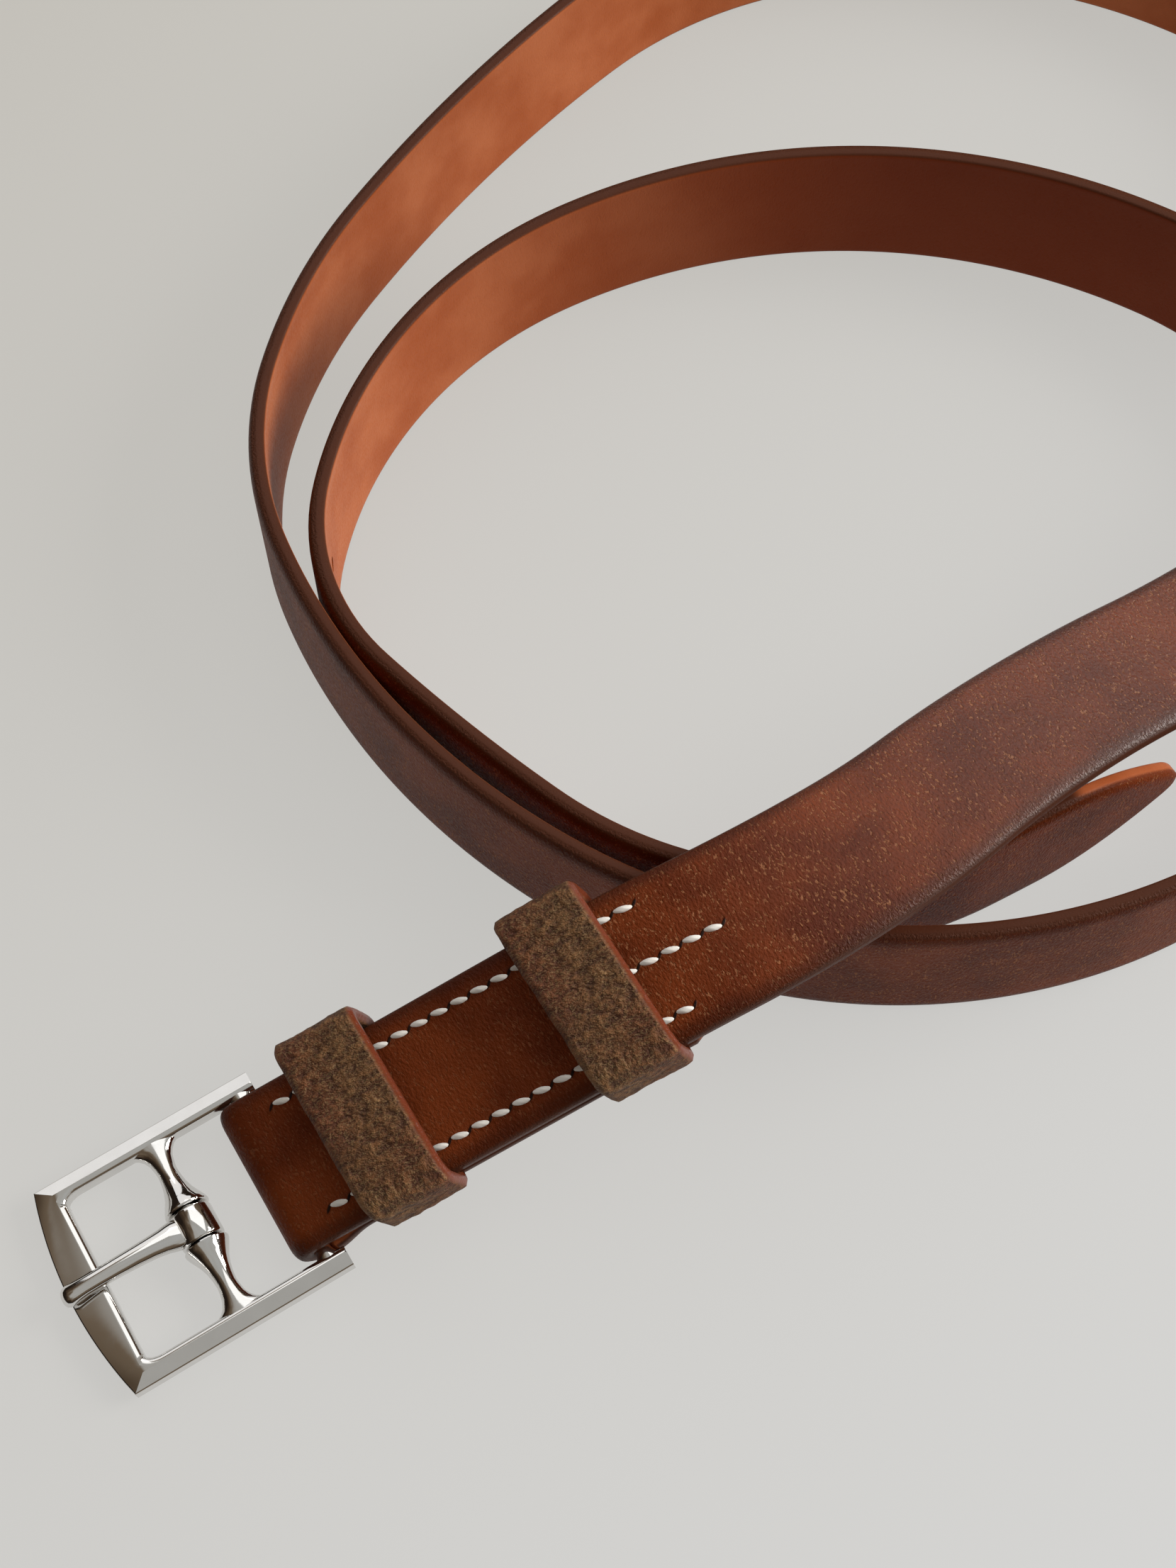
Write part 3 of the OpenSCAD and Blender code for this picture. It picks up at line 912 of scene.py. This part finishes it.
def keeper_bend(u):
    """Across and height of the strip's middle at a distance u from its top's middle, and its tilt."""
    far = abs(u)
    flat, corner, side, foot_corner, _ = BENDS
    if far < flat:
        across, up, tilt = far, TOP_AT, 0.0
    elif far < flat + corner:
        tilt = (far - flat) / TOP_BEND
        across, up = flat + TOP_BEND * math.sin(tilt), TOP_AT - TOP_BEND * (1 - math.cos(tilt))
    elif far < flat + corner + side:
        tilt = math.pi / 2
        across, up = SIDE_AT, TOP_AT - TOP_BEND - (far - flat - corner)
    elif far < flat + corner + side + foot_corner:
        tilt = math.pi / 2 + (far - flat - corner - side) / FOOT_BEND
        across = SIDE_AT - FOOT_BEND * (1 - math.sin(tilt))
        up = FOOT_AT + FOOT_BEND * (1 + math.cos(tilt))
    else:
        tilt = math.pi
        across, up = SIDE_AT - FOOT_BEND - (far - flat - corner - side - foot_corner), FOOT_AT
    return math.copysign(across, u), up, math.copysign(tilt, u)


print("each strip is", round(2 * STRIP_HALF / MM, 1), "mm long")

# %% [markdown]
# ## The keepers
# The strip is made flat, then bent. Two noises raise the nap and make one long rim slightly
# ragged, each keeper with its own seed, while the burnished rim stays smooth. Real relief is
# used besides the bump, because the ragged rim shows against the pale table.

# %% Keepers
def keeper(name, start, seed):
    bm = bmesh.new()
    nx, ny = 22, 110
    bmesh.ops.create_grid(bm, x_segments=nx, y_segments=ny, size=0.5)
    for vert in bm.verts:
        vert.co = (vert.co.x * KEEPER_WIDTH, vert.co.y * 2 * STRIP_HALF, KEEPER_LEATHER_THICK / 2)
    bmesh.ops.solidify(bm, geom=bm.faces, thickness=KEEPER_LEATHER_THICK)
    middle = sum(vert.co.z for vert in bm.verts) / len(bm.verts)
    bmesh.ops.translate(bm, verts=bm.verts, vec=(0, 0, -middle))
    frame_at_bar = bar_frame()

    def bend(point):
        x, u, z = point
        pare = smooth((abs(u) - sum(BENDS[:3])) / (3 * MM))
        thick = KEEPER_LEATHER_THICK + (FOOT - 0.1 * MM - KEEPER_LEATHER_THICK) * pare
        edge = KEEPER_WIDTH / 2 - abs(x)
        level = z * thick / KEEPER_LEATHER_THICK
        level -= math.copysign(rounding(edge, KEEPER_RIM), z)
        rough = (noise.noise(Vector((x, u, z + seed * MM)) * 900) * 0.16
                 + noise.noise(Vector((x, u, z + seed * MM)) * 300) * 0.2) * MM
        rough *= 1 - 0.8 * smooth((x - 4.6 * MM) / (1.5 * MM))
        across, up, tilt = keeper_bend(u)
        level += (rough if z > 0 else 0)
        across += math.sin(tilt) * level
        up += math.cos(tilt) * level
        x += rough * 0.8 * (1 - smooth(edge / (2 * MM)))
        return frame_at_bar @ Vector((start + KEEPER_WIDTH / 2 + x - ASKEW * across, across, up))

    flat = bm.verts.layers.float_vector.new("flat")
    press(bm, bend)
    for vert in bm.verts:
        x, u, z = vert[flat]
        vert[flat] = (u, x, z)
    return to_piece(bm, name, "strap_body", KEEPER_LEATHER, name)


for number, (name, start) in enumerate(KEEPERS.items()):
    keeper(name, start, 7 * number)

# %% [markdown]
# ## The stitches
# Two needles and one waxed thread make each row. Every stitch is a short fat oval that dips
# into an awl hole at both ends and lies at a slight slant, because the awl's holes slant.
# One stitch is shaped once with few faces, then copied along the rows, over and under.

# %% Stitches
STITCH_LENGTH, STITCH_WIDTH, STITCH_HEIGHT = 3.1 * MM, 1.05 * MM, 1.0 * MM
SLANT = math.radians(-13)


def underside(s):
    """The lower face of the turned-back leather, from the strap's middle at s."""
    return -(layer_drop(s) + thickness(s) / 2)


def stitch_row(name, first, count, across):
    bm = bmesh.new()
    for i in range(count + 1):
        s = first + i * STITCH_PITCH
        low = underside(s)
        top = LEATHER / 2 - 0.3 * MM
        bmesh.ops.create_cone(bm, segments=6, radius1=0.35 * MM, radius2=0.35 * MM, depth=top - low,
                              matrix=Matrix.Translation((s, across, (top + low) / 2)))
        if i == count:
            break
        middle = s + STITCH_PITCH / 2
        for level, slant in ((LEATHER / 2 - 0.05 * MM, SLANT), (underside(middle) + 0.05 * MM, -SLANT)):
            made = bmesh.ops.create_uvsphere(bm, u_segments=10, v_segments=8, radius=1)["verts"]
            for vert in made:
                x, y, z = vert.co.z, vert.co.y, vert.co.x
                taper = 1 - 0.25 * x * x
                vert.co = (x * STITCH_LENGTH / 2, y * STITCH_WIDTH / 2 * taper,
                           z * STITCH_HEIGHT / 2 * taper - math.copysign(0.22 * MM, level) * x * x)
            place = Matrix.Translation((middle, across, level)) @ Matrix.Rotation(slant, 4, "Z")
            bmesh.ops.transform(bm, matrix=place, verts=made)
    press(bm, lay)
    return to_piece(bm, name, "strap_body", THREAD, name)


for side, (first, count, across) in ROWS.items():
    stitch_row("stitch_row_" + side, first, count, across)

# %% [markdown]
# ## The buckle frame
# The frame is cast in one piece, filed to crisp bevels and polished. Two straight rails carry
# two thin bars, and the front bar bows outward and ends in sharp corners. The plate starts as
# a grid with the window left out. Its outer rim is lowered, so every rail has a ridge, and
# the corners get a mitre. Bevels round the lip of the window and break the other edges.

# %% Buckle frame
INSIDE, RAIL = HALF + 1.05 * MM, 3.2 * MM
OUTSIDE = INSIDE + RAIL
REACH, THICK, BOW, REAR = 28.6 * MM, 3.2 * MM, 2.2 * MM, 2.4 * MM
FRONT_CORNER = REACH + RAIL + 0.3 * MM
RIDGE, FALL = 1.15 * MM, 0.75 * MM              # from the window to the ridge, down to the outside
WINDOW_CORNER, LIP, BROKEN_EDGE = 2.4 * MM, 1.0 * MM, 0.22 * MM


def buckle_frame_matrix(origin):
    """x out to the front bar, y across, z up, on the line through the two hinges."""
    x = (tongue_bar - fold_bar).normalized()
    y = -Vector(joints["buckle_swing"]["axis"]).normalized()
    return Matrix.Translation(origin) @ Matrix((x, y, x.cross(y))).transposed().to_4x4()


def frame_plate():
    """Rails and front bar: a flat plate with its window left out, thickened and filed."""
    spots_x = [-REAR, REACH, REACH + RIDGE, FRONT_CORNER]
    window_y = [-INSIDE + 2 * INSIDE * i / 24 for i in range(25)]
    spots_y = [-OUTSIDE, -INSIDE - RIDGE] + window_y + [INSIDE + RIDGE, OUTSIDE]
    bm = bmesh.new()
    nx, ny = len(spots_x) - 1, len(spots_y) - 1
    bmesh.ops.create_grid(bm, x_segments=nx, y_segments=ny, size=0.5)
    for vert in bm.verts:
        vert.co = (spots_x[round((vert.co.x + 0.5) * nx)], spots_y[round((vert.co.y + 0.5) * ny)], 0)
    window = [face for face in bm.faces
              if face.calc_center_median().x < REACH and abs(face.calc_center_median().y) < INSIDE]
    bmesh.ops.delete(bm, geom=window, context="FACES")
    for side in (-1, 1):
        corner = [vert for vert in bm.verts
                  if vert.co.x > REACH + RIDGE / 2 and vert.co.y * side > INSIDE + RIDGE / 2]
        mitre = [vert for vert in corner
                 if (vert.co.x > FRONT_CORNER - 1e-6) == (abs(vert.co.y) > OUTSIDE - 1e-6)]
        bmesh.ops.connect_verts(bm, verts=mitre)
    bmesh.ops.solidify(bm, geom=bm.faces, thickness=THICK)
    bmesh.ops.recalc_face_normals(bm, faces=bm.faces)
    middle = sum(vert.co.z for vert in bm.verts) / len(bm.verts)
    for vert in bm.verts:
        rim = vert.co.x > FRONT_CORNER - 1e-6 or abs(vert.co.y) > OUTSIDE - 1e-6
        vert.co.z -= middle
        vert.co.z -= math.copysign(FALL if vert.co.z > 0 else FALL / 2, vert.co.z) if rim else 0
        if vert.co.x > FRONT_CORNER - 1e-6:
            vert.co.x += BOW * (1 - (vert.co.y / OUTSIDE) ** 2)
    inner = [edge for edge in bm.edges
             if all(abs(abs(v.co.y) - INSIDE) < 1e-6 and abs(v.co.x - REACH) < 1e-6 for v in edge.verts)]
    bmesh.ops.bevel(bm, geom=inner, offset=WINDOW_CORNER, segments=8, profile=0.5, affect="EDGES",
                    material=-1)
    lip = [edge for edge in bm.edges if edge.is_manifold and edge.calc_face_angle() > 1.2
           and abs(edge.verts[0].co.z - edge.verts[1].co.z) < 1e-6
           and all(v.co.x < REACH + 1e-6 and abs(v.co.y) < INSIDE + 1e-6 for v in edge.verts)]
    bmesh.ops.bevel(bm, geom=lip, offset=LIP, segments=7, profile=0.5, affect="EDGES", material=-1)
    rims = [edge for edge in bm.edges if edge.is_manifold and edge.calc_face_angle() > 0.9
            and (abs(edge.verts[0].co.z - edge.verts[1].co.z) < 1e-6)]
    bmesh.ops.bevel(bm, geom=rims, offset=BROKEN_EDGE, segments=2, profile=0.5, affect="EDGES", material=-1)
    return bm


print("frame: window", round(2 * INSIDE / MM, 1), "mm wide, rails", round(RAIL / MM, 1), "mm")

# %% [markdown]
# ## The two bars
# Each bar is turned, with a soft fillet where it meets a rail. The bar of the tongue swells
# to a collar on both sides of it, so the tongue stays in the middle. The profile runs from
# the rail to the middle and is mirrored. Near the rails the bar is pressed flat, so that the
# fillet spreads sideways and doesn't stand above the frame.

# %% Bars
def turned_bar(collar):
    """A bar across the window, with a fillet at each rail and a collar beside the tongue if asked."""
    rail = INSIDE / MM
    if collar:
        shape = [(4.3, rail + 0.7), (3.7, rail), (2.9, rail - 0.45), (2.3, rail - 1.1), (1.85, rail - 2.0),
                 (1.6, rail - 3.2), (1.5, 9.4), (1.6, 8.2), (1.85, 6.9), (2.25, 5.7), (2.75, 4.7),
                 (3.15, 3.9), (3.35, 3.4), (3.4, 3.15), (3.33, 2.98), (3.1, 2.86), (1.5, 2.84)]
    else:
        shape = [(2.3, rail + 0.6), (2.05, rail), (1.75, rail - 0.35), (1.5, rail - 0.9)]
    half_shape = [(r * MM, z * MM) for r, z in shape]
    whole = half_shape + [(r, -z) for r, z in reversed(half_shape)]
    bm = lathe(whole)
    bmesh.ops.rotate(bm, verts=bm.verts, cent=(0, 0, 0), matrix=Matrix.Rotation(math.pi / 2, 3, "X"))
    for vert in bm.verts:
        reach = math.hypot(vert.co.x, vert.co.z)
        if abs(vert.co.y) > 9 * MM and reach > 1.5 * MM:
            vert.co.z *= 1.5 * MM / reach
    return bm


print("bars", round(2 * BAR_RADIUS / MM, 1), "mm thick")

# %% [markdown]
# ## Putting the buckle together
# A rod laid across the front bar cuts the hollow for the tongue's tip. Casting makes plate
# and bars one piece; here they overlap inside the rails, which looks the same and keeps each
# surface clean. The whole frame is then moved to the line through its two hinges.

# %% Buckle
NOTCH_RADIUS, NOTCH_HEIGHT, ROD = 2.1 * MM, 3.15 * MM, 12 * MM


def notch():
    """The hollow the tongue's tip lies in: a rod lying across the front bar."""
    tool = bmesh.new()
    lying = Matrix.Translation((REACH + ROD / 4, 0, NOTCH_HEIGHT)) @ Matrix.Rotation(math.pi / 2, 4, "Y")
    bmesh.ops.create_cone(tool, cap_ends=True, segments=48, radius1=NOTCH_RADIUS, radius2=NOTCH_RADIUS,
                          depth=ROD, matrix=lying)
    return tool


frame_work = cut(frame_plate(), notch())
join(frame_work, turned_bar(False))
front_bar = turned_bar(True)
bmesh.ops.translate(front_bar, verts=front_bar.verts, vec=((tongue_bar - fold_bar).length, 0, 0))
join(frame_work, front_bar)
bmesh.ops.transform(frame_work, matrix=buckle_frame_matrix(fold_bar), verts=frame_work.verts)
to_piece(frame_work, "buckle_frame", "frame_body", METAL, "buckle_frame",
         crisp=math.radians(17))

# %% [markdown]
# ## The tongue
# The tongue is a bored barrel with a tapering round finger. The finger rises out of the
# barrel, narrows and ends in a small bulb that drops over the front bar. The barrel and the
# finger are turned separately here, then the finger is bent into its long low curve.

# %% Tongue
TO_FRONT = FRONT_CORNER + BOW - (tongue_bar - fold_bar).length
BARREL_HALF, BARREL_RADIUS, BARREL_EDGE = 2.6 * MM, 3.25 * MM, 0.45 * MM
BORE = BAR_RADIUS + RUN_GAP


def tongue_barrel():
    r, h, e = BARREL_RADIUS, BARREL_HALF, BARREL_EDGE
    profile = [(BORE, -h), (r - e, -h), (r - 0.3 * e, -h + 0.3 * e), (r, -h + e), (r, h - e),
               (r - 0.3 * e, h - 0.3 * e), (r - e, h), (BORE, h), (BORE, -h)]
    bm = lathe(profile)
    bmesh.ops.rotate(bm, verts=bm.verts, cent=(0, 0, 0), matrix=Matrix.Rotation(math.pi / 2, 3, "X"))
    return bm


def finger():
    """Sections as (distance from the bar, half width, half height, centre's height), in millimetres."""
    end = TO_FRONT / MM
    root = [(2.1, 0.3, 0.3, 1.9), (2.15, 2.3, 1.6, 1.5), (3.0, 2.35, 1.7, 1.65),
            (3.8, 2.2, 1.6, 1.85), (4.8, 1.95, 1.45, 2.1), (6.5, 1.75, 1.35, 2.4)]
    middle = [(9, 1.6, 1.3, 2.6), (12, 1.5, 1.25, 2.72), (15, 1.42, 1.2, 2.72)]
    bulb = [(end - 3, 1.42, 1.2, 2.66), (end - 1.6, 1.5, 1.25, 2.5), (end - 0.6, 1.6, 1.3, 2.35),
            (end, 1.5, 1.25, 2.2), (end + 0.45, 1.2, 1.0, 2.05), (end + 0.7, 0.7, 0.6, 1.95),
            (end + 0.78, 0.02, 0.02, 1.9)]
    shape = root + middle + bulb
    bm = lathe([(1, k) for k in range(len(shape))], steps=32)
    bmesh.ops.contextual_create(bm, geom=[edge for edge in bm.edges if edge.is_boundary])
    for vert in bm.verts:
        x, wide, tall, centre = shape[round(vert.co.z)]
        vert.co = Vector((x, vert.co.y * wide, centre - vert.co.x * tall)) * MM
    return bm


tongue_work = tongue_barrel()
join(tongue_work, finger())
bmesh.ops.transform(tongue_work, matrix=buckle_frame_matrix(tongue_bar), verts=tongue_work.verts)
to_piece(tongue_work, "tongue", "tongue_body", METAL, "tongue")

# %% [markdown]
